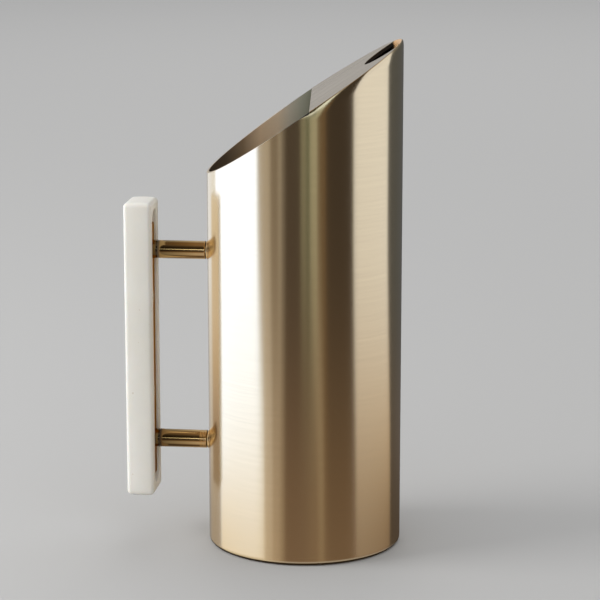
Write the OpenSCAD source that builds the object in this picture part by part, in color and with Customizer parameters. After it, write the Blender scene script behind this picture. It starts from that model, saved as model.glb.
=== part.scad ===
// Water pitcher: a straight sheet-metal tube cut off on a slant, its upper half closed by a
// pour guard with a round pour hole at the tip, and a stone grip bar carried on two round posts.
// Origin: centre of the base, on the surface the pitcher stands on.
// +Z is up and +X points from the handle to the spout. All sizes are in millimetres.

/* [Body] */
// Outside diameter of the tube
tube_diameter = 100; // [80:1:120]
// Thickness of the tube's sheet metal
tube_wall = 1.2; // [0.8:0.1:2]
// Height at which the slanted cut crosses the tube's axis
cut_height = 227.6; // [180:0.2:260]
// Slope of the slanted cut, in degrees above the horizontal
cut_angle = 33.4; // [20:0.2:45]
// Thickness of the base disc under the tube's wall
base_thickness = 3; // [2:0.5:6]
// Radius of the rounded bottom edge
base_edge_radius = 2.5; // [0.5:0.1:3]
// Height of the shoulder that centres the tube on the base disc
shoulder_height = 1.5; // [0.5:0.1:4]

/* [Pour guard] */
// Thickness of the guard plate that lies on the slanted cut
guard_thickness = 1.8; // [1:0.1:3]
// Distance up the slope from the tube's axis to the guard's straight edge
guard_start = 4.6; // [0:0.2:20]
// Distance up the slope from the tube's axis to the near side of the pour hole
hole_start = 37.5; // [30:0.5:45]
// Radius of the pour hole
hole_radius = 17; // [10:0.5:22]

/* [Handle bar] */
// Angle by which the whole handle stands off the line opposite the spout, in degrees
handle_turn = 5.5; // [-10:0.5:10]
// Clear distance for the fingers between the tube and the bar
grip_gap = 28; // [22:0.5:45]
// Thickness of the bar, measured away from the tube
bar_thickness = 14.6; // [10:0.2:25]
// Width of the bar across the hand
bar_width = 24; // [16:0.5:40]
// Length of the bar
bar_length = 155.5; // [110:0.5:190]
// Height of the middle of the bar
bar_middle = 100.8; // [80:0.2:130]
// Radius of the bar's rounded edges
bar_edge_radius = 2; // [0.5:0.1:4]
// Width of the round-ended slot in the bar's inner face
slot_width = 14; // [10:0.5:18]
// Length of that slot
slot_length = 145.6; // [100:0.2:180]
// Depth at which the backing strip lies below the bar's inner face
strip_recess = 1.5; // [0:0.1:4]

/* [Metalwork of the handle] */
// Thickness of the backing strip in the slot
strip_thickness = 3; // [2:0.5:5]
// Width of the backing strip
strip_width = 12; // [8:0.5:16]
// Height of the strip's lower end
strip_bottom = 32; // [28:0.5:60]
// Height of the strip's upper end
strip_top = 166; // [120:0.5:170]
// Diameter of the two posts
post_diameter = 9.5; // [6:0.5:14]
// Height of the upper post's axis
upper_post_height = 152.8; // [130:0.2:160]
// Height of the lower post's axis
lower_post_height = 51.8; // [40:0.2:80]
// Diameter of each post's tail, riveted flush through the strip
tail_diameter = 5; // [3:0.5:7]
// Diameter of the reduced neck under each collar
neck_diameter = 8; // [5:0.5:9]
// Outside diameter of the collar that meets the tube
collar_diameter = 9.7; // [9:0.1:16]
// Length of that collar
collar_length = 0.8; // [0.5:0.1:6]
// Width of the open groove between a collar and its post
groove_width = 0.6; // [0.3:0.1:2]
// Height of the lower strip screw
lower_screw_height = 77; // [65:0.5:90]
// Height of the upper strip screw
upper_screw_height = 127; // [115:0.5:140]
// Thread diameter of the strip screws
screw_diameter = 3; // [2:0.5:4]
// Head diameter of the strip screws
screw_head_diameter = 6; // [4:0.5:8]
// Length of a strip screw from the face of its head to its tip
screw_length = 9; // [6:0.5:10]
// Outside diameter of the threaded inserts in the bar
insert_diameter = 5; // [4:0.5:7]
// Length of a threaded insert
insert_length = 7; // [4:0.5:8]

/* [Hidden] */
tube_radius = tube_diameter / 2;
bore_radius = tube_radius - tube_wall;
bar_face = -(tube_radius + grip_gap);
bar_axis = bar_face - bar_thickness / 2;
slot_depth = strip_recess + strip_thickness;
strip_face = bar_face - strip_recess;
slot_floor = bar_face - slot_depth;
hole_centre = hole_start + hole_radius;
screw_head_height = (screw_head_diameter - screw_diameter) / 2;
socket_width = 2;
socket_depth = 1.1;
tall = 400;
$fn = 240;

// Piece to draw, or all of them

// Moves its children onto the slanted cut: X runs up the slope, Z stands square to the cut.
module on_the_cut() {
    translate([0, 0, cut_height]) rotate([0, -cut_angle, 0]) children();
}

// Turns its children about the tube's axis, with the handle.
module handle_frame() {
    rotate([0, 0, -handle_turn]) children();
}

// A rod of the given radius that lies along X from x1 to x2, at height z.
module rod_x(radius, x1, x2, z) {
    translate([x1, 0, z]) rotate([0, 90, 0]) cylinder(r = radius, h = x2 - x1);
}

// A rectangle with round corners, centred on the origin.
module rounded_rectangle(length, width, radius) {
    square([length - 2 * radius, width], center = true);
    square([length, width - 2 * radius], center = true);
    for (x = [-1, 1], y = [-1, 1])
        translate([x * (length / 2 - radius), y * (width / 2 - radius)]) circle(r = radius);
}

// A straight slot with round ends, its length along X.
module round_ended_slot(length, width) {
    square([length - width, width], center = true);
    for (x = [-1, 1]) translate([x * (length - width) / 2, 0]) circle(d = width);
}

// A solid rod as thick as the tube, against which other pieces are shaped.
module tube_outside() {
    translate([0, 0, -tall / 2]) cylinder(r = tube_radius, h = 2 * tall);
}

module body_tube() {
    color([0.80, 0.70, 0.50])
    difference() {
        translate([0, 0, base_thickness]) cylinder(r = tube_radius, h = tall);
        translate([0, 0, base_thickness - 1]) cylinder(r = bore_radius, h = tall + 2);
        on_the_cut() translate([-tall, -tall / 2, 0]) cube([2 * tall, tall, 2 * tall]);
    }
}

// A turned disc: round bottom edge, flat rim for the tube's wall, and a centring shoulder.
module base_disc() {
    color([0.74, 0.64, 0.45])
    rotate_extrude() {
        square([tube_radius - base_edge_radius, base_thickness]);
        translate([0, base_edge_radius])
            square([tube_radius, base_thickness - base_edge_radius]);
        intersection() {
            translate([tube_radius - base_edge_radius, base_edge_radius])
                circle(r = base_edge_radius);
            square([tube_radius, base_edge_radius]);
        }
        square([bore_radius, base_thickness + shoulder_height]);
    }
}

// A flat plate cut to the tube's outline, with a hole that runs out to the tube's bore.
module pour_guard() {
    color([0.84, 0.76, 0.58])
    difference() {
        intersection() {
            tube_outside();
            on_the_cut() translate([guard_start, -tall / 2, 0])
                cube([tall, tall, guard_thickness]);
        }
        intersection() {
            on_the_cut() translate([hole_centre, 0, -tall / 2])
                cylinder(r = hole_radius, h = tall);
            translate([0, 0, -tall / 2]) cylinder(r = bore_radius, h = 2 * tall);
        }
    }
}

module handle_bar() {
    color([0.93, 0.91, 0.86])
    handle_frame() difference() {
        translate([bar_axis, 0, bar_middle]) intersection() {
            linear_extrude(height = bar_length, center = true)
                rounded_rectangle(bar_thickness, bar_width, bar_edge_radius);
            rotate([0, 90, 0]) linear_extrude(height = bar_thickness, center = true)
                rounded_rectangle(bar_length, bar_width, bar_edge_radius);
        }
        translate([slot_floor, 0, bar_middle]) rotate([0, 90, 0])
            linear_extrude(height = slot_depth + 1)
                round_ended_slot(slot_length, slot_width);
        for (z = [lower_screw_height, upper_screw_height])
            rod_x(insert_diameter / 2, slot_floor - insert_length, slot_floor + 1, z);
    }
}

module backing_strip() {
    color([0.62, 0.46, 0.24])
    handle_frame() difference() {
        translate([slot_floor, -strip_width / 2, strip_bottom])
            cube([strip_thickness, strip_width, strip_top - strip_bottom]);
        for (z = [lower_post_height, upper_post_height])
            rod_x(tail_diameter / 2, slot_floor - 1, strip_face + 1, z);
        for (z = [lower_screw_height, upper_screw_height]) {
            rod_x(screw_diameter / 2, slot_floor - 1, strip_face + 1, z);
            countersink(z);
        }
    }
}

// The conical seat of one strip screw, open towards the tube.
module countersink(z) {
    translate([strip_face - screw_head_height, 0, z]) rotate([0, 90, 0])
        cylinder(d1 = screw_diameter, d2 = screw_head_diameter, h = screw_head_height);
}

// One post: riveting tail, full rod, and a neck shaped to the tube.
module post(z) {
    color([0.66, 0.50, 0.28])
    handle_frame() {
        rod_x(tail_diameter / 2, slot_floor, strip_face, z);
        difference() {
            union() {
                rod_x(post_diameter / 2, strip_face,
                      -tube_radius - collar_length - groove_width, z);
                rod_x(neck_diameter / 2, strip_face, -tube_radius + 2, z);
            }
            tube_outside();
        }
    }
}

// One collar: a plain ring round the neck, its inner end shaped to the tube.
module collar(z) {
    color([0.86, 0.76, 0.55])
    handle_frame() difference() {
        rod_x(collar_diameter / 2, -tube_radius - collar_length, -tube_radius + 2, z);
        rod_x(neck_diameter / 2, -tube_radius - collar_length - 1, -tube_radius + 3, z);
        tube_outside();
    }
}

module upper_post() { post(upper_post_height); }
module lower_post() { post(lower_post_height); }
module upper_collar() { collar(upper_post_height); }
module lower_collar() { collar(lower_post_height); }

// Two countersunk screws with hexagon sockets.
module strip_screws() {
    color([0.70, 0.56, 0.34])
    handle_frame() for (z = [lower_screw_height, upper_screw_height]) difference() {
        union() {
            countersink(z);
            rod_x(screw_diameter / 2, strip_face - screw_length, strip_face - 0.2, z);
        }
        translate([strip_face - socket_depth, 0, z]) rotate([0, 90, 0])
            cylinder(d = socket_width, h = socket_depth + 1, $fn = 6);
    }
}

// Two plain sleeves set into the bar, which take the strip screws.
module bar_inserts() {
    color([0.72, 0.60, 0.36])
    handle_frame() for (z = [lower_screw_height, upper_screw_height]) difference() {
        rod_x(insert_diameter / 2, slot_floor - insert_length, slot_floor, z);
        rod_x(screw_diameter / 2, slot_floor - insert_length - 1, slot_floor + 1, z);
    }
}

body_tube();
base_disc();
pour_guard();
handle_bar();
backing_strip();
upper_post();
lower_post();
upper_collar();
lower_collar();
strip_screws();
bar_inserts();
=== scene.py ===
"""The looks of the water pitcher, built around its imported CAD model. All lengths are in metres."""
import math

import bmesh
import bpy
from mathutils import Matrix, Vector


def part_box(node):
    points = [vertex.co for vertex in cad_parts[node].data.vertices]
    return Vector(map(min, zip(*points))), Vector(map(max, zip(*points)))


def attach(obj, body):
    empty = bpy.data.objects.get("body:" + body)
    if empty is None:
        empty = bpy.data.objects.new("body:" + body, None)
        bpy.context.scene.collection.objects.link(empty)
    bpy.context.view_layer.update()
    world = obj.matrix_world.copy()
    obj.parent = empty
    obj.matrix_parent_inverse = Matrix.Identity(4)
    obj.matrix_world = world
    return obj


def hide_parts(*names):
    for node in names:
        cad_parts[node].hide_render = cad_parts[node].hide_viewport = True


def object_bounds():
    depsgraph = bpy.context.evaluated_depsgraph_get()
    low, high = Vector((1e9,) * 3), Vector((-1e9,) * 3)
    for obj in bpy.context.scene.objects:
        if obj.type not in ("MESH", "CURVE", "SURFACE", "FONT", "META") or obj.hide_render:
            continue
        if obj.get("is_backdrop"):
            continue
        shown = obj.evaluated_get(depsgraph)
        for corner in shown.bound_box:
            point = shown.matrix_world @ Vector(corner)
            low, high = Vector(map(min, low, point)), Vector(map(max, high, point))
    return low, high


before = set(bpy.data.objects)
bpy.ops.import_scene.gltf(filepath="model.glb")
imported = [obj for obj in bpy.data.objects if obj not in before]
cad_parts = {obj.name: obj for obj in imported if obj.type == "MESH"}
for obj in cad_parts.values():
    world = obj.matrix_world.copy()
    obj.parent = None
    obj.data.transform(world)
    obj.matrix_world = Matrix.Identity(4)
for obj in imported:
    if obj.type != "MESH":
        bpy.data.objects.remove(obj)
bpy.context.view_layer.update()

MM = 0.001
TURN = 2 * math.pi
WHITE = (1, 1, 1)


# ---------------------------------------------------------------- sizes, read from the CAD model

def cad_points(node):
    """The corners of a CAD node's mesh."""
    return [vertex.co.copy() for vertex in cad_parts[node].data.vertices]


def handle_box(node):
    """Lowest and highest corner of a CAD node, measured square to the handle."""
    points = [HANDLE_TO_FRAME.inverted() @ point for point in cad_points(node)]
    low = Vector(min(point[axis] for point in points) for axis in range(3))
    high = Vector(max(point[axis] for point in points) for axis in range(3))
    return low, high


tube_low, tube_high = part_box("body_tube")
TUBE_R = tube_high.x
BORE_R = min(math.hypot(point.x, point.y) for point in cad_points("body_tube"))
cut_low = max(point.z for point in cad_points("body_tube") if point.x < tube_low.x + 0.1 * MM)
CUT_Z = (tube_high.z + cut_low) / 2
SLOPE = (tube_high.z - cut_low) / (2 * TUBE_R)
CUT_COS = math.cos(math.atan(SLOPE))
CUT_SIN = math.sin(math.atan(SLOPE))

guard_low, guard_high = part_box("pour_guard")
GUARD_T = (guard_high.z - tube_high.z) * CUT_COS
GUARD_START = (guard_low.z - CUT_Z) / CUT_SIN
HOLE_R = 17 * MM          # the pour hole, as in the CAD model
HOLE_CENTRE = 54.5 * MM   # its distance up the slope from the tube's axis

grip_low, grip_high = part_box("handle_bar")
grip_middle = (grip_low + grip_high) / 2
HANDLE_ANGLE = math.atan2(grip_middle.y, -grip_middle.x)
HANDLE_TO_FRAME = Matrix.Rotation(-HANDLE_ANGLE, 4, "Z")


# ---------------------------------------------------------------- mesh helpers

def skin(columns, ring=False, wrap=True):
    """Points and quads of the surface through neighbouring columns of points.
    ring closes every column on itself, wrap joins the last column to the first."""
    rows = len(columns[0])
    points = [point for column in columns for point in column]
    faces = []
    for i in range(len(columns) if wrap else len(columns) - 1):
        here, there = i * rows, (i + 1) % len(columns) * rows
        for j in range(rows if ring else rows - 1):
            up = (j + 1) % rows
            faces.append((here + j, there + j, there + up, here + up))
    return points, faces


def cap(faces, count, rows, row):
    """Closes one row of a wrapped skin with a single flat face."""
    faces.append([i * rows + row for i in range(count)])


def make_piece(name, points, faces, material, stands_for, place=None, crease=40):
    """A closed smooth-shaded mesh that replaces a CAD node and rides on the body."""
    mesh = bpy.data.meshes.new(name)
    mesh.from_pydata([tuple(point) for point in points], [], faces)
    work = bmesh.new()
    work.from_mesh(mesh)
    bmesh.ops.remove_doubles(work, verts=work.verts, dist=0.0005 * MM)
    bmesh.ops.recalc_face_normals(work, faces=work.faces)
    work.to_mesh(mesh)
    work.free()
    if place is not None:
        mesh.transform(place)
    mesh.shade_smooth()
    mesh.set_sharp_from_angle(angle=math.radians(crease))
    mesh.materials.append(material)
    piece = bpy.data.objects.new(name, mesh)
    bpy.context.scene.collection.objects.link(piece)
    modifier = piece.modifiers.new("even shading", "WEIGHTED_NORMAL")
    modifier.keep_sharp = True
    modifier.weight = 80
    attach(piece, "root")
    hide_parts(stands_for)
    return piece


def quarter(steps):
    """Angles from 0 to 90 degrees."""
    return [math.pi / 2 * k / steps for k in range(steps + 1)]


def share_between(value, start, end):
    """0 before start, 1 after end, and a straight climb between."""
    return min(1, max(0, (value - start) / (end - start)))


def smooth_share(value, start, end):
    """0 before start, 1 after end, and a smooth step between."""
    t = share_between(value, start, end)
    return t * t * (3 - 2 * t)


# ---------------------------------------------------------------- materials

def node(tree, kind, inputs=None, **settings):
    """Adds a shader node; an input is given a value, or a socket to link from."""
    made = tree.nodes.new("ShaderNode" + kind)
    for key, value in settings.items():
        setattr(made, key, value)
    for key, value in (inputs or {}).items():
        if isinstance(value, bpy.types.NodeSocket):
            tree.links.new(value, made.inputs[key])
        else:
            made.inputs[key].default_value = value
    return made


def new_material(name):
    """An empty node material, with its tree and its shader."""
    material = bpy.data.materials.new(name)
    material.use_nodes = True
    tree = material.node_tree
    tree.nodes.clear()
    shader = node(tree, "BsdfPrincipled")
    output = node(tree, "OutputMaterial")
    tree.links.new(shader.outputs["BSDF"], output.inputs["Surface"])
    return material, tree, shader


def stretched_noise(tree, stretch, detail=3.0, tilt=0.0):
    """Noise drawn out into streaks: stretch is the number of features per metre along x, y and z,
    and tilt turns the pattern about the y axis first."""
    place = node(tree, "TexCoord").outputs["Object"]
    turned = node(tree, "VectorRotate", {"Vector": place, "Angle": tilt}, rotation_type="Y_AXIS")
    drawn = node(tree, "Mapping", {"Vector": turned.outputs["Vector"], "Scale": stretch})
    noise = node(tree, "TexNoise", {"Vector": drawn.outputs["Vector"], "Scale": 1.0,
                                    "Detail": detail, "Roughness": 0.6})
    return noise.outputs["Fac"]


def spread(tree, value, low, high):
    """Maps noise, which stays near 0.5, to the range from low to high."""
    return node(tree, "MapRange", {"Value": value, "From Min": 0.3, "From Max": 0.7,
                                   "To Min": low, "To Max": high}).outputs["Result"]


def mixed(tree, factor, first, second, blend_type="MIX"):
    """A mix of two colours. A colour is three numbers, or a socket to link from."""
    first, second = (colour if isinstance(colour, bpy.types.NodeSocket) else (*colour, 1)
                     for colour in (first, second))
    return node(tree, "Mix", {0: factor, 6: first, 7: second}, data_type="RGBA",
                blend_type=blend_type).outputs[2]


def ramp_colour(tree, value, stops):
    """A colour that runs through stops of (value, colour)."""
    first, last = stops[0][0], stops[-1][0]
    share = node(tree, "MapRange", {"Value": value, "From Min": first, "From Max": last})
    ramp = node(tree, "ValToRGB", {"Fac": share.outputs["Result"]})
    elements = ramp.color_ramp.elements
    while len(elements) > 1:
        elements.remove(elements[0])
    for i, (at, colour) in enumerate(stops):
        position = (at - first) / (last - first)
        stop = elements[0] if i == 0 else elements.new(position)
        stop.position = position
        stop.color = (*colour, 1)
    return ramp.outputs["Color"]


def along_x(tree, stops, turn=0.0):
    """A colour that changes along x, after a turn about the z axis; stops are (x, colour)."""
    place = node(tree, "TexCoord").outputs["Object"]
    turned = node(tree, "VectorRotate", {"Vector": place, "Angle": turn}, rotation_type="Z_AXIS")
    x = node(tree, "SeparateXYZ", {0: turned.outputs["Vector"]}).outputs["X"]
    return ramp_colour(tree, x, stops)


def post_reflection_mask(tree):
    """1 on the tube's wall beside each post, where a brown reflection of the post is painted, and 0
    elsewhere.
    """
    place = node(tree, "TexCoord").outputs["Object"]
    turned = node(tree, "VectorRotate", {"Vector": place, "Angle": HANDLE_ANGLE},
                  rotation_type="Z_AXIS").outputs["Vector"]
    nearest = None
    for z in POST_HEIGHTS:
        shifted = node(tree, "VectorMath", {0: turned, 1: (0, 0, -z)}, operation="ADD")
        scaled = node(tree, "VectorMath", {0: shifted.outputs["Vector"],
                                           1: (0, 1 / REFLECTION_ACROSS, 1 / REFLECTION_HIGH)},
                      operation="MULTIPLY")
        reach = node(tree, "VectorMath", {0: scaled.outputs["Vector"]}, operation="LENGTH")
        reach = reach.outputs["Value"]
        if nearest is not None:
            reach = node(tree, "Math", {0: nearest, 1: reach}, operation="MINIMUM").outputs[0]
        nearest = reach
    x = node(tree, "SeparateXYZ", {0: turned}).outputs["X"]
    behind = node(tree, "Math", {0: x, 1: 0.0}, operation="LESS_THAN").outputs[0]
    fade = node(tree, "MapRange", {"Value": nearest, "From Min": 0.7, "From Max": 1.2,
                                   "To Min": 1.0, "To Max": 0.0}).outputs["Result"]
    return node(tree, "Math", {0: behind, 1: fade}, operation="MULTIPLY").outputs[0]


def below_cut(tree, near, far):
    """0 within near of the slanted cut and 1 further than far below it."""
    place = node(tree, "TexCoord").outputs["Object"]
    depth = node(tree, "VectorMath", {0: place, 1: (CUT_SIN, 0, -CUT_COS)},
                 operation="DOT_PRODUCT").outputs["Value"]
    at_cut = -CUT_Z * CUT_COS
    return node(tree, "MapRange", {"Value": depth, "From Min": at_cut + near,
                                   "From Max": at_cut + far}).outputs["Result"]


def brushed_metal(name, colour, roughness, anisotropy, fine, broad, tilt=0.0, around=True,
                  contrast=0.05, depth=0.001, stops=None, turn=0.0, fade_below=None, painted_reflection=None,
                  edge=None, metallic=1.0, specular=0.5, tint=WHITE):
    """Metal with brushing in two sizes: fine and broad are the stretches of their noise.

    around is set for brushing that runs round the z axis, and depth is its height in mm.
    stops give the colour along x, after a turn about z; with fade_below, a pair of depths, they
    give way to the plain colour below the cut. The colour for beside the posts paints a brown
    reflection of them there, and edge is the darkest tint of the streaks seen at a shallow angle,
    which is tint all over without it."""
    material, tree, shader = new_material(name)
    hairs = stretched_noise(tree, fine, 3.0, tilt)
    bands = stretched_noise(tree, broad, 2.0, tilt)
    both = node(tree, "Math", {0: hairs, 1: bands}, operation="ADD").outputs[0]
    half = node(tree, "Math", {0: both, 1: 0.5}, operation="MULTIPLY").outputs[0]
    tone = spread(tree, half, 0.0, 1.0)
    plain_base = mixed(tree, tone, [c * (1 - contrast) for c in colour], colour)
    base = plain_base
    if stops is not None:
        streaks = mixed(tree, tone, [1 - contrast] * 3, WHITE)
        base = mixed(tree, 1.0, along_x(tree, stops, turn), streaks, "MULTIPLY")
    if fade_below is not None:
        base = mixed(tree, below_cut(tree, *fade_below), base, plain_base)
    # the tube's wall beside each post gets a painted brown reflection of the post
    if painted_reflection is not None:
        base = mixed(tree, post_reflection_mask(tree), base, painted_reflection)
    tree.links.new(base, shader.inputs["Base Color"])
    shader.inputs["Specular Tint"].default_value = (*tint, 1)
    if edge is not None:
        tree.links.new(mixed(tree, tone, edge, WHITE), shader.inputs["Specular Tint"])
    tree.links.new(spread(tree, half, roughness * 1.08, roughness * 0.92),
                   shader.inputs["Roughness"])
    bump = node(tree, "Bump", {"Height": hairs, "Strength": 0.5, "Distance": depth * MM})
    tree.links.new(bump.outputs["Normal"], shader.inputs["Normal"])
    shader.inputs["Metallic"].default_value = metallic
    shader.inputs["Specular IOR Level"].default_value = specular
    shader.inputs["Anisotropic"].default_value = anisotropy
    if around:
        tangent = node(tree, "Tangent", direction_type="RADIAL", axis="Z")
        tree.links.new(tangent.outputs["Tangent"], shader.inputs["Tangent"])
        shader.inputs["Anisotropic Rotation"].default_value = 0.25
    return material


def stone(name, light, dark):
    """Polished ivory stone: faint clouds, a few tan specks, a soft translucent body."""
    material, tree, shader = new_material(name)
    clouds = stretched_noise(tree, (28, 28, 14), 4.0)
    base = mixed(tree, spread(tree, clouds, 0.0, 1.0), dark, light)
    specks = stretched_noise(tree, (520, 520, 420), 1.0)
    speck = node(tree, "MapRange", {"Value": specks, "From Min": 0.74, "From Max": 0.80,
                                    "To Min": 0.0, "To Max": 0.6}).outputs["Result"]
    tree.links.new(mixed(tree, speck, base, SPECK), shader.inputs["Base Color"])
    tree.links.new(spread(tree, clouds, 0.42, 0.34), shader.inputs["Roughness"])
    grain = stretched_noise(tree, (900, 900, 900), 2.0)
    bump = node(tree, "Bump", {"Height": grain, "Strength": 0.2, "Distance": 0.01 * MM})
    tree.links.new(bump.outputs["Normal"], shader.inputs["Normal"])
    shader.inputs["Subsurface Weight"].default_value = 0.25
    shader.inputs["Subsurface Radius"].default_value = (1.0, 0.8, 0.6)
    shader.inputs["Subsurface Scale"].default_value = 2.0 * MM
    shader.inputs["Coat Weight"].default_value = 0.15
    shader.inputs["Coat Roughness"].default_value = 0.2
    return material


POST_HEIGHTS = [(low.z + high.z) / 2 for low, high in (handle_box("upper_post"),
                                                       handle_box("lower_post"))]
REFLECTION_ACROSS = 16 * MM    # how far the painted reflection of a post reaches round the tube on each side of it
REFLECTION_HIGH = 5 * MM       # and above and below it
CHAMPAGNE = (0.80, 0.67, 0.46)
POLISHED = (0.90, 0.65, 0.35)
PAINTED_SHADE = (0.02, 0.017, 0.015)       # painted shade, for hollows that the light doesn't reach
STRAW = (0.36, 0.24, 0.10)
SPECK = (0.55, 0.44, 0.30)         # tan specks in the stone
TIP_AT = 45 * MM                   # x beyond which the bore behind the pour hole has painted light instead of painted shade
POST_END_SHADE = (0.10, 0.078, 0.055)     # painted shade where a post leaves the bar
slope_tilt = math.atan(SLOPE)
# The tube carries a painted brown reflection of each post beside it.
tube_metal = brushed_metal("brushed champagne brass", CHAMPAGNE, 0.175, 0.5, (40, 40, 6000),
                           (14, 14, 1500), contrast=0.06, depth=0.0006, painted_reflection=(0.52, 0.38, 0.23))
# Inside, the wall has painted light and shade: brown at the low side, then a bright straw, then grey
# by the guard. Under the guard it has painted shade, and painted light again at the tip.
inner_metal = brushed_metal(
    "brass inside with painted light and shade", (0.50, 0.41, 0.30), 0.42, 0.3, (40, 40, 2000), (20, 20, 90),
    metallic=0.35, specular=0.1, fade_below=(12 * MM, 40 * MM), stops=[
        (-0.050, (0.09, 0.065, 0.045)), (-0.042, (0.17, 0.13, 0.09)), (-0.033, (0.42, 0.31, 0.20)),
        (-0.024, (1.0, 0.78, 0.54)), (-0.015, (1.0, 0.82, 0.60)), (-0.009, (0.72, 0.66, 0.54)),
        (-0.003, (0.46, 0.46, 0.37)), (0.003, (0.28, 0.29, 0.22)), (0.005, (0.20, 0.20, 0.16)),
        (0.020, PAINTED_SHADE), (TIP_AT - 0.5 * MM, PAINTED_SHADE), (TIP_AT + 0.5 * MM, (0.60, 0.36, 0.17)),
        (0.050, (0.66, 0.44, 0.25))])
# The last stretch of the rim, before the guard, is painted dark: painted shade.
rim_metal = brushed_metal(
    "rim brass with painted shade", CHAMPAGNE, 0.3, 0.0, (300, 300, 300), (60, 60, 60), around=False, stops=[
        (-0.050, CHAMPAGNE), (-0.014, CHAMPAGNE), (-0.009, (0.14, 0.12, 0.09)),
        (0.006, (0.10, 0.085, 0.07))])
guard_metal = brushed_metal("guard brass", (0.78, 0.70, 0.56), 0.26, 0.0, (20, 1800, 200),
                            (9, 260, 60), tilt=slope_tilt, around=False, contrast=0.03,
                            depth=0.0003, edge=(0.72, 0.72, 0.72))
# Brass with painted shade, for the guard's hole wall and underside.
shaded_metal = brushed_metal("brass with painted shade", PAINTED_SHADE, 0.5, 0.0, (300, 300, 300), (60, 60, 60),
                             around=False, metallic=0.0, specular=0.05)
handle_metal = brushed_metal("polished brass", POLISHED, 0.10, 0.0, (1500, 60, 60),
                             (300, 40, 40), around=False, depth=0.0004)
# The posts are painted darker inside the slot, with painted shade where they leave the bar that
# lightens towards the collar, and painted shade inside the collar.
post_metal = brushed_metal(
    "polished brass of the posts", POLISHED, 0.10, 0.0, (1500, 60, 60), (300, 40, 40),
    around=False, depth=0.0004, turn=HANDLE_ANGLE, stops=[
        (-0.0800, STRAW), (-0.0774, STRAW), (-0.0768, POST_END_SHADE), (-0.0756, POST_END_SHADE),
        (-0.0748, (0.29, 0.20, 0.09)), (-0.0700, (0.44, 0.31, 0.14)),
        (-0.0620, (0.66, 0.46, 0.21)), (-0.0560, (0.88, 0.62, 0.30)),
        (-0.05145, POLISHED), (-0.05140, PAINTED_SHADE), (-0.0500, PAINTED_SHADE)])
strip_metal = brushed_metal("satin strip brass", (0.40, 0.23, 0.05), 0.30, 0.0, (900, 60, 60),
                            (300, 40, 40), around=False, tint=(0.58, 0.36, 0.11))
screw_metal = brushed_metal("screw brass", (0.60, 0.46, 0.26), 0.22, 0.0, (900, 900, 900),
                            (200, 200, 200), around=False)
bar_stone = stone("ivory stone", (0.87, 0.85, 0.79), (0.80, 0.77, 0.69))


# ---------------------------------------------------------------- the tube

LIP = 0.15 * MM           # rounding of the tube's free edge
RAMP_RISE = 0.9           # share of the guard's thickness that the rim climbs on its way to it
ROLL_START = 6 * MM       # how far before the guard's corner the edge starts to roll in
ROLL_FULL = 3 * MM        # how far beyond that corner the roll has its full size
ROLL_DOWN = 6.0 * MM      # height of the rolled edge round the guard
ROLL_IN = 1.1 * MM        # how far that edge rolls inwards
HAIRLINE = 0.02 * MM      # gap between the tube's wall and the guard that lies on it
NARROW_SHARE = 0.62       # the roll takes at most this share of the guard's width beside its hole
COLUMNS = 288             # columns of points round the tube
CORNER_COLUMNS = 40       # further columns at each of the guard's corners
INSIDE, RIM = 1, 2        # indexes of the tube's further materials


def cut_height(x, lift=0.0):
    """Height of the slanted cut at x, or of the level that lies lift above it, square to it."""
    return CUT_Z + SLOPE * x + lift / CUT_COS


edge_foot = GUARD_START * CUT_COS
edge_crest = edge_foot - GUARD_T * CUT_SIN


def rolled_top(x):
    """Level above the cut at which the rolled edge would close, if nothing were cut from it.
    It climbs in a straight line from the rim's low end to the guard's top."""
    return GUARD_T * (x + TUBE_R) / (edge_crest + TUBE_R)


def ramp(x):
    """How far the rim stands above the cut at x; it ends behind the guard's straight edge."""
    past_edge = max(0, (x - edge_crest) / (edge_foot - edge_crest))
    return RAMP_RISE * min(rolled_top(x), GUARD_T * max(0, 1 - past_edge))


def hole_reach(direction, lift):
    """Distance from the hole's centre to its edge, along a direction in the plate's own plane."""
    shift = HOLE_CENTRE * CUT_COS - lift * CUT_SIN
    a = (direction.x * CUT_COS) ** 2 + direction.y ** 2
    b = shift * direction.x * CUT_COS
    c = shift ** 2 - BORE_R ** 2
    to_bore = (-b + math.sqrt(b * b - a * c)) / a
    return min(HOLE_R, to_bore)


def rolled_edge(angle):
    """Inward and downward size of the outer edge at an angle: it grows towards the guard."""
    rim = Vector((TUBE_R * math.cos(angle), TUBE_R * math.sin(angle)))
    ray = Vector((rim.x / CUT_COS - HOLE_CENTRE, rim.y))
    width = ray.length - hole_reach(ray.normalized(), 0)
    near_guard = smooth_share(rim.x, edge_crest - ROLL_START, edge_crest + ROLL_FULL)
    share = min(1, NARROW_SHARE * width / ROLL_IN)
    return (LIP + (ROLL_IN * share - LIP) * near_guard,
            LIP + (ROLL_DOWN * share ** 2 - LIP) * near_guard)


def roll(depth, inward, down):
    """How far the rolled edge stands inside the wall at a depth below its top."""
    rise = max(0, 1 - depth / down)
    return inward * (1 - math.sqrt(1 - rise * rise))


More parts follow.
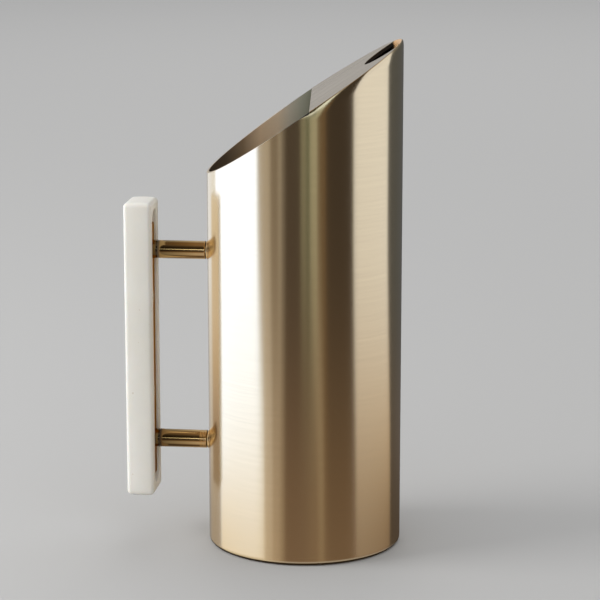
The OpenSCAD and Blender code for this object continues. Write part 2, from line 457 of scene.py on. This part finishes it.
def tube_column(angle):
    """The wall's cross-section at an angle, as one closed ring of points."""
    inward, down = rolled_edge(angle)
    x_wall = TUBE_R * math.cos(angle)
    under_guard = x_wall > edge_crest
    closed_at = GUARD_T if under_guard else rolled_top(x_wall)
    covered = (closed_at - ramp(x_wall)) / CUT_COS + (HAIRLINE if under_guard else 0)
    inner = HAIRLINE if under_guard else LIP
    section = [(TUBE_R, down, k / 6) for k in range(6)]
    for t in quarter(8):
        depth = covered + (down - covered) * (1 - math.sin(t))
        section.append((TUBE_R - roll(depth, inward, down), depth, 1))
    for t in reversed(quarter(4)):
        section.append((BORE_R + inner * (1 - math.cos(t)), covered + inner * (1 - math.sin(t)), 1))
    section += [(BORE_R, covered + inner, k / 6) for k in range(5, -1, -1)]
    column = []
    for radius, depth, share in section:
        x = radius * math.cos(angle)
        top = cut_height(x, closed_at) - depth
        column.append(Vector((x, radius * math.sin(angle), tube_low.z + (top - tube_low.z) * share)))
    return column


angles = [TURN * k / COLUMNS for k in range(COLUMNS)]
for k in range(CORNER_COLUMNS + 1):
    reach = edge_foot - edge_crest + ROLL_START + ROLL_FULL
    x = edge_crest - ROLL_START + reach * k / CORNER_COLUMNS
    angles += [math.acos(x / TUBE_R), TURN - math.acos(x / TUBE_R)]
angles = sorted(set(round(a, 5) for a in angles))
points, faces = skin([tube_column(a) for a in angles], ring=True)
tube = make_piece("pitcher_tube", points, faces, tube_metal, "body_tube")
for material in (inner_metal, rim_metal):
    tube.data.materials.append(material)
plate_normal = Vector((-CUT_SIN, 0, CUT_COS))
# The bore takes the brass with painted light and shade, and the rim's edge before the guard the
# brass with painted shade.
for face in tube.data.polygons:
    outwards = Vector((face.center.x, face.center.y, 0))
    upright = face.normal.dot(outwards.normalized()) > 0.985
    if outwards.length < BORE_R + LIP / 2:
        face.material_index = INSIDE
    elif not upright and face.center.x < edge_foot and face.normal.dot(plate_normal) > 0.15:
        face.material_index = RIM


# ---------------------------------------------------------------- the base disc

def lathe(profile, steps=240):
    """Columns of a shape turned about z from (radius, height) points."""
    return [[Vector((r * math.cos(a), r * math.sin(a), z)) for r, z in profile]
            for a in (TURN * k / steps for k in range(steps))]


base_low, base_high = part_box("base_disc")
BASE_ROUND = 2.5 * MM
HOLLOW = 0.8 * MM         # depth of the underside inside its foot ring
FOOT_IN, FOOT_OUT = 42 * MM, 45 * MM
FLAT_ROWS = (8 * MM, 30 * MM)      # radii at which the flat faces have a row of points
SOFTENED = 0.3 * MM       # rounding of the shoulder
base_profile = [(r, HOLLOW) for r in FLAT_ROWS]
base_profile += [(FOOT_IN - 1.4 * MM, HOLLOW - 0.1 * MM), (FOOT_IN - 0.6 * MM, 0.1 * MM),
                 (FOOT_IN, 0.0), (FOOT_OUT, 0.0)]
for t in quarter(12):
    base_profile.append((TUBE_R - BASE_ROUND * (1 - math.sin(t)), BASE_ROUND * (1 - math.cos(t))))
base_profile += [(TUBE_R, tube_low.z), (BORE_R, tube_low.z),
                 (BORE_R, base_high.z - SOFTENED), (BORE_R - SOFTENED, base_high.z)]
base_profile += [(r, base_high.z) for r in reversed(FLAT_ROWS)]
columns = lathe(base_profile)
points, faces = skin(columns)
cap(faces, len(columns), len(base_profile), 0)
cap(faces, len(columns), len(base_profile), len(base_profile) - 1)
make_piece("pitcher_base", points, faces, tube_metal, "base_disc")


# ---------------------------------------------------------------- the pour guard

EDGE = 0.25 * MM          # rounding of the guard's straight edge and of its hole
ARC_COLUMNS = 360         # columns of points along the guard's curved outline
EDGE_COLUMNS = 90         # and along its straight edge
ROLLED, HIDDEN, TIP = 1, 2, 3      # indexes of the guard's further materials


def edge_line(lift):
    """x of the guard's straight edge at a height above the cut."""
    over = max(0, lift - (GUARD_T - EDGE))
    return edge_foot - lift * CUT_SIN + EDGE - math.sqrt(EDGE ** 2 - over ** 2)


def plate_point(u, v, lift):
    """A point of the plate from its place up the slope, across it and above the cut."""
    return Vector((u * CUT_COS - lift * CUT_SIN, v, CUT_Z + u * CUT_SIN + lift * CUT_COS))


def guard_column(share, on_arc):
    """The plate's cross-section from the outline to the hole, as one closed ring of points.
    share runs from 0 to 1 along the curved outline, or back along the straight edge."""
    corner = math.acos(edge_foot / TUBE_R)
    if on_arc:
        angle = corner * (1 - 2 * share)
        rim = Vector((TUBE_R * math.cos(angle), TUBE_R * math.sin(angle)))
    else:
        angle = corner
        rim = Vector((edge_foot, TUBE_R * math.sin(corner) * (2 * share - 1)))
    inward, down = rolled_edge(angle)
    ray = Vector((rim.x / CUT_COS - HOLE_CENTRE, rim.y))
    width = ray.length - hole_reach(ray.normalized(), 0)
    column = []
    for t in quarter(9):
        lift = GUARD_T * math.sin(t)
        radius = TUBE_R - roll((GUARD_T - lift) / CUT_COS, inward, down)
        x = edge_line(lift)
        corner = math.acos(x / radius)
        if on_arc:
            angle = corner * (1 - 2 * share)
            x, y = radius * math.cos(angle), radius * math.sin(angle)
        else:
            y = radius * math.sin(corner) * (2 * share - 1)
        column.append(Vector((x, y, cut_height(x, lift))))
    ray.normalize()
    for t in reversed(quarter(4)):
        lift = GUARD_T - EDGE * (1 - math.sin(t))
        reach = hole_reach(ray, lift) + min(EDGE, 0.15 * width) * (1 - math.cos(t))
        column.append(plate_point(HOLE_CENTRE + ray.x * reach, ray.y * reach, lift))
    reach = hole_reach(ray, 0)
    column.append(plate_point(HOLE_CENTRE + ray.x * reach, ray.y * reach, 0))
    return column


columns = [guard_column(k / ARC_COLUMNS, True) for k in range(ARC_COLUMNS)]
columns += [guard_column(k / EDGE_COLUMNS, False) for k in range(EDGE_COLUMNS)]
points, faces = skin(columns, ring=True)
guard = make_piece("pour_guard_plate", points, faces, guard_metal, "pour_guard")
for material in (tube_metal, shaded_metal, inner_metal):
    guard.data.materials.append(material)
for face in guard.data.polygons:
    outwards = Vector((face.center.x, face.center.y, 0))
    facing_out = face.normal.dot(outwards.normalized())
    # The hole's wall and the underside get the brass with painted shade, and past TIP_AT the bore's
    # brass with its painted light.
    hidden = facing_out < -0.75 or face.normal.dot(plate_normal) < 0.3
    if outwards.length > TUBE_R - ROLL_IN and facing_out > 0.25:
        face.material_index = ROLLED
    elif hidden and face.center.x > edge_foot + 1 * MM:
        face.material_index = TIP if face.center.x > TIP_AT else HIDDEN


# ---------------------------------------------------------------- the grip bar

BAR_ROUND = 2.0 * MM      # rounding of the bar's edges
SLOT_WIDTH = 14 * MM
SLOT_LENGTH = 145.6 * MM
SLOT_LIP = 1.0 * MM       # rounding of the slot's mouth
CROWN = 0.5 * MM          # how far the bar's faces swell between their edges
END_COLUMNS = 49          # columns of points round each end of the slot
SIDE_COLUMNS = 40         # and along each side of it
bar_low, bar_high = handle_box("handle_bar")
strip_low, strip_high = handle_box("backing_strip")
slot_floor = strip_low.x
bar_centre_z = (bar_low.z + bar_high.z) / 2
half_width = (bar_high.y - bar_low.y) / 2
half_length = (bar_high.z - bar_low.z) / 2
slot_half_width = SLOT_WIDTH / 2
slot_reach = SLOT_LENGTH / 2 - slot_half_width


def outline_reach(centre_z, direction, inset):
    """Distance from a point on the bar's middle line to its outline, moved in by inset."""
    width, length = half_width - inset, half_length - inset
    corner = max(0.02 * MM, BAR_ROUND - inset)
    across = width / abs(direction.x) if abs(direction.x) > 1e-9 else 1e9
    along = (length - centre_z) / direction.y if direction.y > 1e-9 else 1e9
    reach = min(across, along)
    hit = Vector((direction.x * reach, centre_z + direction.y * reach))
    middle = Vector((math.copysign(width - corner, direction.x), length - corner))
    if abs(hit.x) > abs(middle.x) and hit.y > middle.y:
        start = Vector((0, centre_z)) - middle
        b, c = start.dot(direction), start.length_squared - corner ** 2
        reach = -b + math.sqrt(max(0, b * b - c))
    return reach


def bar_column(y_way, z_way, start_z):
    """From the slot's floor over the bar's skin to its back, in one direction from start_z."""
    direction = Vector((y_way, abs(z_way)))
    flip = -1 if z_way < 0 or start_z < 0 else 1

    def at(x, reach):
        return Vector((x, direction.x * reach, bar_centre_z + start_z + flip * direction.y * reach))

    def swollen(x):
        share = (x - bar_low.x) / (bar_high.x - bar_low.x)
        return CROWN * (2 * share - 1) ** 2

    column = [at(slot_floor, slot_half_width)]
    column.append(at(bar_high.x - SLOT_LIP - 1.5 * MM, slot_half_width))
    for t in quarter(5):
        column.append(at(bar_high.x - SLOT_LIP * (1 - math.sin(t)),
                         slot_half_width + SLOT_LIP * (1 - math.cos(t))))
    for t in reversed(quarter(7)):
        x = bar_high.x - BAR_ROUND * (1 - math.sin(t))
        inset = BAR_ROUND * (1 - math.cos(t)) + swollen(x)
        column.append(at(x, outline_reach(abs(start_z), direction, inset)))
    for k in range(1, 8):
        x = bar_high.x - BAR_ROUND + (bar_low.x - bar_high.x + 2 * BAR_ROUND) * k / 8
        column.append(at(x, outline_reach(abs(start_z), direction, swollen(x))))
    for t in quarter(7):
        x = bar_low.x + BAR_ROUND * (1 - math.sin(t))
        inset = BAR_ROUND * (1 - math.cos(t)) + swollen(x)
        column.append(at(x, outline_reach(abs(start_z), direction, inset)))
    return column


columns = []
for way in (1, -1):
    for k in range(END_COLUMNS):
        a = math.pi * k / END_COLUMNS
        columns.append(bar_column(way * math.cos(a), way * (math.sin(a) + 1e-12), way * slot_reach))
    for k in range(SIDE_COLUMNS):
        columns.append(bar_column(-way, 0.0, way * slot_reach * (1 - 2 * k / SIDE_COLUMNS)))
points, faces = skin(columns)
cap(faces, len(columns), len(columns[0]), 0)
cap(faces, len(columns), len(columns[0]), len(columns[0]) - 1)
make_piece("grip_bar", points, faces, bar_stone, "handle_bar", HANDLE_TO_FRAME)


# ---------------------------------------------------------------- posts and collars

def rod(sections, z, steps=96):
    """Columns of a rod along x from (x, radius) sections. A section with x None lies on the tube."""
    columns = []
    for k in range(steps):
        a = TURN * k / steps
        column = []
        for x, r in sections:
            y = r * math.cos(a)
            at = -math.sqrt(TUBE_R ** 2 - y * y) if x is None else x
            column.append(Vector((at, y, z + r * math.sin(a))))
        columns.append(column)
    return columns


POST_R = 4.75 * MM
NECK_R = 4 * MM
TAIL_R = 2.5 * MM
CHAMFER = 0.25 * MM       # at both ends of a post
COLLAR_R = 4.85 * MM
COLLAR_LENGTH = 0.8 * MM
FLARE = 0.12 * MM         # how far a collar widens where it meets the tube
GROOVE = 0.6 * MM         # open width between a collar and its post
LINE_PITCH = 0.8 * MM     # spacing of the fine turned lines on the lower post
LINE_HALF_WIDTH = 0.14 * MM
LINE_DEPTH = 0.09 * MM
post_end = -TUBE_R - COLLAR_LENGTH - GROOVE
ring_start = -TUBE_R - COLLAR_LENGTH


def close_saddle(faces, count, rows):
    """Closes the rod's end on the tube with quads across it, because that end isn't flat."""
    end = [i * rows + rows - 1 for i in range(count)]
    for i in range(count // 2 - 1):
        faces.append([end[i], end[i + 1], end[count - 2 - i], end[count - 1 - i]])


for level, lines in (("upper", 0), ("lower", 4)):
    low, high = handle_box(level + "_post")
    z = (low.z + high.z) / 2
    sections = [(low.x, TAIL_R), (strip_high.x, TAIL_R), (strip_high.x, POST_R - CHAMFER),
                (strip_high.x + CHAMFER, POST_R)]
    for k in range(lines, 0, -1):
        x = post_end - k * LINE_PITCH
        sections += [(x - LINE_HALF_WIDTH, POST_R), (x, POST_R - LINE_DEPTH),
                     (x + LINE_HALF_WIDTH, POST_R)]
    sections += [(post_end - CHAMFER, POST_R), (post_end, POST_R - CHAMFER), (post_end, NECK_R),
                 (ring_start + 0.3 * MM, NECK_R), (None, NECK_R)]
    columns = rod(sections, z)
    points, faces = skin(columns)
    cap(faces, len(columns), len(sections), 0)
    close_saddle(faces, len(columns), len(sections))
    make_piece(level + "_post_turned", points, faces, post_metal, level + "_post",
               HANDLE_TO_FRAME, crease=30)
    ring = [(ring_start, NECK_R), (ring_start, COLLAR_R - 0.2 * MM),
            (ring_start + 0.06 * MM, COLLAR_R - 0.06 * MM), (ring_start + 0.2 * MM, COLLAR_R),
            (ring_start + 0.55 * MM, COLLAR_R + 0.05 * MM), (None, COLLAR_R + FLARE),
            (None, NECK_R)]
    points, faces = skin(rod(ring, z), ring=True)
    make_piece(level + "_collar_ring", points, faces, handle_metal, level + "_collar",
               HANDLE_TO_FRAME, crease=35)

for name, material in (("backing_strip", strip_metal), ("strip_screws", screw_metal),
                       ("bar_inserts", screw_metal)):
    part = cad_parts[name]
    part.data.materials.clear()
    part.data.materials.append(material)
    weld = part.modifiers.new("weld", "WELD")
    weld.merge_threshold = 0.001 * MM
    if name == "backing_strip":
        bevel = part.modifiers.new("soft edges", "BEVEL")
        bevel.width = 0.3 * MM
        bevel.segments = 3
        bevel.angle_limit = math.radians(50)


# ---------------------------------------------------------------- floor, camera and light

def plain(name, colour, strength=None):
    """A plain diffuse material, or a plain glowing one where a strength is given."""
    material, tree, shader = new_material(name)
    shader.inputs["Base Color"].default_value = (*colour, 1)
    shader.inputs["Roughness"].default_value = 0.8
    shader.inputs["Specular IOR Level"].default_value = 0
    if strength is not None:
        shader.inputs["Base Color"].default_value = (0, 0, 0, 1)
        shader.inputs["Emission Color"].default_value = (*colour, 1)
        shader.inputs["Emission Strength"].default_value = strength
    return material


def stage_mesh(name, points, faces, material):
    """A mesh that belongs to the studio and not to the pitcher."""
    mesh = bpy.data.meshes.new(name)
    mesh.from_pydata([tuple(point) for point in points], [], faces)
    mesh.materials.append(material)
    piece = bpy.data.objects.new(name, mesh)
    bpy.context.scene.collection.objects.link(piece)
    piece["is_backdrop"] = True
    return piece


def only_for_gloss(piece):
    """Keeps a card out of sight: only reflections show it."""
    piece.visible_camera = False
    piece.visible_diffuse = False
    piece.visible_shadow = False
    piece.visible_transmission = False
    return piece


def disc(name, radius, material, sides=96):
    """A flat disc on the floor, centred under the pitcher."""
    points = [Vector((radius * math.cos(TURN * k / sides), radius * math.sin(TURN * k / sides), 0))
              for k in range(sides)]
    return stage_mesh(name, points, [list(range(sides))], material)


FLOOR_R = 12.0
CONTACT_R = TUBE_R + 0.8 * MM      # reach of the dark line that the foot mirrors
floor = disc("floor", FLOOR_R, plain("pale floor", (0.50, 0.495, 0.485)))
floor.visible_glossy = False
only_for_gloss(disc("contact shade", CONTACT_R, plain("contact shade", (0.03, 0.022, 0.015), 1.0)))

CAMERA_AT = Vector((0.0196, -1.1885, 0.3790))
AIM_AT = Vector((-0.0024, 0.0, 0.1276))
LENS = 141.1              # focal length in mm, on a sensor 36 mm wide

DOME_R = 3.0
DOME_CENTRE = Vector((0, 0, 0.15))
HIGH_AT, MIDDLE_AT, LOW_AT, TABLE_AT = -10.4, -13.0, -17.0, -19.5    # elevations, in degrees
NADIR = (0.09, 0.06, 0.04)          # straight below
BENCH = (0.56, 0.55, 0.54)          # mixed into every band between the table and straight below
BENCH_SHARE = 0.6
CEILING = (0.62, 0.56, 0.50)        # the most light that any band gives above its sky
ROOF = (0.20, 0.135, 0.08)          # straight above

# The surroundings that the metal reflects, as upright bands. Each has its left edge as seen across
# the tube from the camera, -1 at the tube's left edge and 1 at its right, first high up on the tube
# and then low down, and its colours: high, in the middle, low, on the table and in the space above.
BANDS = [
    ("wall", -1.0, -1.0, (0.47, 0.47, 0.48), (0.47, 0.46, 0.47), (0.46, 0.45, 0.46),
     (0.30, 0.28, 0.26), (0.47, 0.47, 0.48)),
    ("pale", -0.985, -0.975, (0.95, 1.00, 1.10), (0.80, 0.78, 0.76), (0.60, 0.54, 0.48),
     (0.40, 0.34, 0.28), (0.85, 0.80, 0.75)),
    ("key", -0.90, -0.865, (1.50, 1.78, 2.50), (1.40, 1.66, 2.32), (1.38, 1.65, 2.22),
     (0.91, 0.79, 0.60), (1.15, 1.05, 0.95)),
    ("tan 1", -0.474, -0.41, (0.47, 0.43, 0.38), (0.46, 0.40, 0.34), (0.74, 0.72, 0.74),
     (0.60, 0.49, 0.36), (0.30, 0.28, 0.26)),
    ("tan 2", -0.345, -0.325, (0.21, 0.175, 0.14), (0.25, 0.205, 0.165), (0.52, 0.46, 0.42),
     (0.48, 0.37, 0.26), (0.10, 0.09, 0.08)),
    ("line", -0.265, -0.262, (0.38, 0.35, 0.31), (0.32, 0.27, 0.225), (0.46, 0.39, 0.34),
     (0.42, 0.32, 0.22), (0.10, 0.09, 0.08)),
    ("tan 3", -0.230, -0.24, (0.17, 0.15, 0.13), (0.16, 0.135, 0.11), (0.34, 0.275, 0.22),
     (0.34, 0.25, 0.16), (0.10, 0.09, 0.08)),
    ("brown 1", -0.195, -0.205, (0.064, 0.050, 0.039), (0.052, 0.040, 0.032), (0.19, 0.135, 0.10),
     (0.21, 0.13, 0.075), (0.036, 0.025, 0.012)),
    ("olive 1", -0.04, 0.04, (0.27, 0.27, 0.20), (0.085, 0.070, 0.055), (0.225, 0.165, 0.12),
     (0.22, 0.135, 0.075), (0.90, 1.00, 1.00)),
    ("green", 0.015, 0.09, (0.10, 0.125, 0.08), (0.075, 0.070, 0.050), (0.19, 0.13, 0.09),
     (0.22, 0.135, 0.075), (0.90, 1.00, 1.00)),
    ("olive 2", 0.048, 0.15, (0.43, 0.43, 0.33), (0.38, 0.34, 0.26), (0.42, 0.34, 0.25),
     (0.27, 0.19, 0.11), (0.90, 1.00, 1.00)),
    ("rust", 0.13, 0.205, (0.15, 0.10, 0.055), (0.115, 0.075, 0.042), (0.18, 0.12, 0.075),
     (0.22, 0.145, 0.085), (0.10, 0.08, 0.05)),
    ("brown 2", 0.21, 0.25, (0.052, 0.041, 0.032), (0.054, 0.041, 0.031), (0.15, 0.105, 0.07),
     (0.20, 0.125, 0.07), (0.05, 0.04, 0.03)),
    ("fill", 0.485, 0.53, (0.93, 0.96, 1.04), (0.81, 0.81, 0.86), (0.62, 0.49, 0.35),
     (0.20, 0.13, 0.075), (0.88, 0.90, 0.97)),
    ("slate", 0.835, 0.885, (0.10, 0.105, 0.11), (0.10, 0.10, 0.10), (0.13, 0.11, 0.10),
     (0.08, 0.06, 0.045), (0.20, 0.19, 0.17)),
]


def dome_point(azimuth, elevation, radius=DOME_R):
    """A point of the dome; azimuth 0 is towards -y and 90 towards +x."""
    a, e = math.radians(azimuth), math.radians(elevation)
    level = math.cos(e)
    return DOME_CENTRE + radius * Vector((math.sin(a) * level, -math.cos(a) * level, math.sin(e)))


def band_edge(edges, elevation):
    """Azimuth of a band's edge: where the camera's view goes once the tube has reflected it."""
    share = share_between(elevation, LOW_AT, HIGH_AT)
    across = edges[1] + (edges[0] - edges[1]) * share
    camera_turn = math.degrees(math.atan2(CAMERA_AT.x, -CAMERA_AT.y))
    return camera_turn + 2 * math.degrees(math.asin(across))


def glow(name, stops):
    """A glowing material whose colour changes with height; stops are (height, colour)."""
    material = bpy.data.materials.new(name)
    material.use_nodes = True
    tree = material.node_tree
    tree.nodes.clear()
    strength = max(1.0, max(max(colour) for _, colour in stops))
    place = node(tree, "TexCoord").outputs["Object"]
    height = node(tree, "SeparateXYZ", {0: place}).outputs["Z"]
    colour = ramp_colour(tree, height, [(z, [c / strength for c in rgb]) for z, rgb in stops])
    light = node(tree, "Emission", {"Color": colour, "Strength": strength})
    output = node(tree, "OutputMaterial")
    tree.links.new(light.outputs["Emission"], output.inputs["Surface"])
    return material


def dome_height(elevation):
    """Height of the dome's points at an elevation."""
    return DOME_CENTRE.z + DOME_R * math.sin(math.radians(elevation))


def dome_patch(name, left, right, elevations, material, radius=DOME_R):
    """A strip of the dome between two edges, each a function of elevation; only gloss sees it."""
    across = 8
    points = [dome_point(left(e) + (right(e) - left(e)) * k / across, e, radius)
              for e in elevations for k in range(across + 1)]
    faces = []
    for r in range(len(elevations) - 1):
        for k in range(across):
            here = r * (across + 1) + k
            faces.append((here, here + 1, here + across + 2, here + across + 1))
    return only_for_gloss(stage_mesh(name, points, faces, material))


# Rows of the dome, close together where the bands' edges lean.
ELEVATIONS = [-90, -75, -60, -45, -30, -24] + [-20 + k / 2 for k in range(25)]
ELEVATIONS += [0, 8, 20, 35, 50, 65, 80, 90]
for here, after in zip(BANDS, BANDS[1:] + [("end", 1.0, 1.0)]):
    name, high, middle, low, table, sky = "dome " + here[0], *here[3:]
    bench = [c + BENCH_SHARE * (pale - c) for c, pale in zip(table, BENCH)]
    ceiling = [min(pair) for pair in zip(sky, CEILING)]
    stops = [(-90, NADIR), (-75, NADIR), (-55, bench), (-30, bench), (TABLE_AT - 4, table),
             (TABLE_AT, table), (LOW_AT, low), (MIDDLE_AT, middle), (HIGH_AT, high), (8, high),
             (12, sky), (34, sky), (46, ceiling), (70, ROOF), (90, ROOF)]
    dome_patch(name, lambda e: band_edge(here[1:3], e), lambda e: band_edge(after[1:3], e),
               ELEVATIONS, glow(name, [(dome_height(e), colour) for e, colour in stops]))

# A bright slit in front of the dome, which gives the edge round the guard its glint.
SLIT_LEFT, SLIT_RIGHT = -18, -6
dome_patch("dome slit", lambda e: SLIT_LEFT, lambda e: SLIT_RIGHT, [8, 11, 14],
           plain("dome slit", (0.967, 1.0, 0.967), 1.5), DOME_R - 0.05)

# The tan band along the tube's edge beside the handle, as (height, colour) from its foot to its
# head: a painted reflection of the bar's lit inner face. A glowing card close to that face, which
# only gloss sees, gives it.
HANDLE_GLOW = [(0.020, (0.36, 0.28, 0.20)), (0.046, (0.36, 0.27, 0.19)), (0.070, (0.51, 0.40, 0.30)),
               (0.086, (0.60, 0.48, 0.35)), (0.102, (0.68, 0.56, 0.43)), (0.118, (0.73, 0.62, 0.49)),
               (0.150, (0.76, 0.65, 0.51)), (0.180, (0.81, 0.73, 0.61))]
CARD_GAP = 1.8 * MM
card_x = bar_high.x + CARD_GAP
card = [Vector((card_x, y, z)) for y, z in ((bar_low.y, bar_low.z), (bar_high.y, bar_low.z),
                                            (bar_high.y, bar_high.z), (bar_low.y, bar_high.z))]
only_for_gloss(stage_mesh("handle card", [HANDLE_TO_FRAME @ point for point in card],
                          [(0, 1, 2, 3)], glow("handle card", HANDLE_GLOW)))


def softbox(name, at, size, power):
    """An area light that faces the object and leaves no reflection."""
    data = bpy.data.lights.new(name, "AREA")
    data.shape = "SQUARE"
    data.size = size
    data.energy = power
    light = bpy.data.objects.new(name, data)
    light.location = at
    light.rotation_euler = (AIM_AT - light.location).to_track_quat("-Z", "Y").to_euler()
    light.visible_glossy = False
    bpy.context.scene.collection.objects.link(light)


softbox("key light", Vector((-1.5, -0.3, 0.7)), 0.9, 17)
softbox("top light", Vector((0.0, 2.6, 2.4)), 1.5, 14)

world = bpy.data.worlds.new("studio")
world.use_nodes = True
world.node_tree.nodes["Background"].inputs["Color"].default_value = (0.92, 0.93, 0.95, 1)
world.node_tree.nodes["Background"].inputs["Strength"].default_value = 0.83
bpy.context.scene.world = world

lens = bpy.data.cameras.new("camera")
lens.lens = LENS
lens.sensor_width = 36
lens.clip_start = 0.05
lens.clip_end = 50
camera = bpy.data.objects.new("camera", lens)
camera.location = CAMERA_AT
camera.rotation_euler = (AIM_AT - CAMERA_AT).to_track_quat("-Z", "Y").to_euler()
bpy.context.scene.collection.objects.link(camera)
bpy.context.scene.camera = camera
bpy.context.scene.view_settings.view_transform = "Standard"

low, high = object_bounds()
